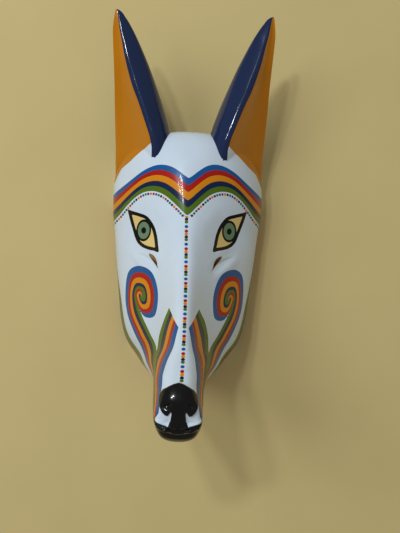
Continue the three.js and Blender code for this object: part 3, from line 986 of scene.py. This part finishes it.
def build_slit(side):
    """A crescent between two bows, pulled through the face at a slant, so that its lower wall shows."""
    crown = SLIT_BOW * SLIT_LENGTH
    bm = bmesh.new()
    bmesh.ops.create_grid(bm, x_segments=16, y_segments=1, size=1)
    for vert in bm.verts:
        along, bow = vert.co.x, 1 - vert.co.x ** 2
        up = bow * (crown + vert.co.y * SLIT_HEIGHT / 2) - crown / 2
        vert.co = (along * SLIT_LENGTH / 2, up, FACE_DEPTH * 0.4)
    bmesh.ops.remove_doubles(bm, verts=bm.verts, dist=0.001)
    pulled = bmesh.ops.extrude_face_region(bm, geom=bm.faces[:])
    verts = [g for g in pulled["geom"] if isinstance(g, bmesh.types.BMVert)]
    bmesh.ops.translate(bm, vec=(0, -SLIT_SLANT, FACE_DEPTH * 0.25), verts=verts)
    bmesh.ops.translate(bm, vec=((SLIT_LENGTH - LID_LENGTH) / 2, SLIT_SLANT * 0.4, 0), verts=bm.verts)
    bmesh.ops.rotate(bm, matrix=Matrix.Rotation(LID_TILT, 3, "Z"), verts=bm.verts)
    bmesh.ops.translate(bm, vec=(LID_AT[0] * FACE_WIDTH / 2, LID_AT[1] * FACE_LENGTH, 0), verts=bm.verts)
    if side < 0:
        bmesh.ops.scale(bm, vec=(-1, 1, 1), verts=bm.verts)
    points = np.array([v.co[:] for v in bm.verts])
    return finish_form("slit", bm, points, lambda face: SLIT_SLOT)


def mend_seams(bm, layers):
    """Points that a cut or a joint made take the paint of the nearest point of the head."""
    points = carved_head().reshape(-1, 3) / 1000
    tree = KDTree(len(points))
    for index, point in enumerate(points):
        tree.insert(Vector(point) + FACE_TO_PART, index)
    tree.balance()
    held = [(bm.verts.layers.float[name], values) for name, values in layers.items()]
    share = bm.verts.layers.float["head_share"]
    for vert in bm.verts:
        if vert[share] < 0.999:
            nearest = tree.find(vert.co)[1]
            for layer, values in held:
                vert[layer] = values[nearest]


def build_mask():
    """The head joined with its ears, hollowed, pierced, and cut flat at the back rim."""
    mask, layers = build_head()
    for side in (1, -1):
        join_or_cut(mask, build_ear(side), "UNION")
    join_or_cut(mask, build_hollow(), "DIFFERENCE")
    for side in (1, -1):
        join_or_cut(mask, build_slit(side), "DIFFERENCE")
    bm = bmesh.new()
    bm.from_mesh(mask.data)
    mend_seams(bm, layers)
    everything = bm.verts[:] + bm.edges[:] + bm.faces[:]
    back = {"plane_co": (0, 0, 0), "plane_no": (0, 0, 1), "clear_inner": True}
    cut = bmesh.ops.bisect_plane(bm, geom=everything, **back)
    rim = [g for g in cut["geom_cut"] if isinstance(g, bmesh.types.BMEdge)]
    filled = bmesh.ops.triangle_fill(bm, edges=rim, use_beauty=True, normal=(0, 0, -1))
    for face in filled["geom"]:
        if isinstance(face, bmesh.types.BMFace):
            face.material_index = WOOD_SLOT
    bmesh.ops.triangulate(bm, faces=[f for f in bm.faces if len(f.verts) > 4])
    bm.to_mesh(mask.data)
    bm.free()
    for polygon in mask.data.polygons:
        polygon.use_smooth = True
    chosen = {"selected_objects": [mask], "selected_editable_objects": [mask]}
    with bpy.context.temp_override(object=mask, active_object=mask, **chosen):
        bpy.ops.object.shade_smooth_by_angle(angle=math.radians(38), keep_sharp_edges=True)
    return mask


mask = build_mask()
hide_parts("coyote_mask")
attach(mask, "root")


# Floor, camera and light

def build_floor():
    """Plain ground under the mask."""
    bm = bmesh.new()
    bmesh.ops.create_grid(bm, x_segments=2, y_segments=2, size=1.6)
    mesh = bpy.data.meshes.new("floor")
    bm.to_mesh(mesh)
    bm.free()
    material = bpy.data.materials.new("plain ground")
    material.use_nodes = True
    t = Tree(material.node_tree)
    shader = material.node_tree.nodes["Principled BSDF"]
    ground = t.mix(t.noise(t.place(), 9), linear(220, 200, 141), linear(208, 189, 132))
    t.join(ground, shader.inputs["Base Color"])
    shader.inputs["Roughness"].default_value = 0.8
    mesh.materials.append(material)
    floor = bpy.data.objects.new("floor", mesh)
    bpy.context.scene.collection.objects.link(floor)


# The camera: its focal length and the picture's height in pixels, its distances in metres
FOCAL_PX, PICTURE_HEIGHT_PX, SENSOR = 610.0, 533, 36
FLOOR_DISTANCE, PIVOT, OFFSET = 0.7, 0.09, 0.0148
ROLL, YAW = math.radians(2.28), math.radians(1.6)


def place_camera():
    """A camera that looks down on the mask, turned and leaning a little."""
    right = Vector((math.cos(YAW), 0, math.sin(YAW)))
    up = Vector((0, 1, 0))
    back = Vector((-math.sin(YAW), 0, math.cos(YAW)))
    c, r = math.cos(ROLL), math.sin(ROLL)
    reach = FLOOR_DISTANCE - PIVOT
    eye = Vector((OFFSET, 0, PIVOT)) + back * reach + FACE_TO_PART
    axes = (right * c + up * r, up * c - right * r, back)
    data = bpy.data.cameras.new("camera")
    data.sensor_width = SENSOR
    data.lens = FOCAL_PX * SENSOR / PICTURE_HEIGHT_PX
    camera = bpy.data.objects.new("camera", data)
    matrix = Matrix.Identity(4)
    for k in range(3):
        for i in range(3):
            matrix[i][k] = axes[k][i]
        matrix[k][3] = eye[k]
    camera.matrix_world = matrix
    bpy.context.scene.collection.objects.link(camera)
    bpy.context.scene.camera = camera


LIGHTS_AIM = Vector((0, 0, 0.05))
ROOM_LIGHT, MIRRORED_LESS = 0.29, 0.16


def area_light(name, at, size, power, color, glint=True):
    """A rectangular light aimed at the mask; glint says whether the paint mirrors it."""
    data = bpy.data.lights.new(name, "AREA")
    data.shape = "RECTANGLE"
    data.size, data.size_y = size
    data.energy = power
    data.color = color
    light = bpy.data.objects.new(name, data)
    light.visible_glossy = glint
    light.location = at
    light.rotation_euler = (LIGHTS_AIM - Vector(at)).to_track_quat("-Z", "Y").to_euler()
    bpy.context.scene.collection.objects.link(light)


def light_room():
    """Even warm light from all round, dimmer where the paint mirrors it."""
    world = bpy.data.worlds.new("room")
    world.use_nodes = True
    t = Tree(world.node_tree)
    background = world.node_tree.nodes["Background"]
    background.inputs[0].default_value = (1.0, 0.96, 0.86, 1)
    mirrored = t.node("ShaderNodeLightPath").outputs["Is Glossy Ray"]
    t.join(t.math("SUBTRACT", ROOM_LIGHT, t.both(mirrored, MIRRORED_LESS)), background.inputs[1])
    bpy.context.scene.world = world


build_floor()
place_camera()
for name, at in (("upper pane", (-0.6, 1.0, 2.0)), ("lower pane", (-0.88, 0.83, 2.0))):
    area_light(name, at, (0.16, 0.16), 7.4, (0.93, 0.975, 1.0))
area_light("side window", (-1.7, 0.5, 1.9), (0.9, 1.1), 17.5, (0.95, 0.98, 1.0), glint=False)
light_room()
bpy.context.scene.view_settings.view_transform = "Standard"
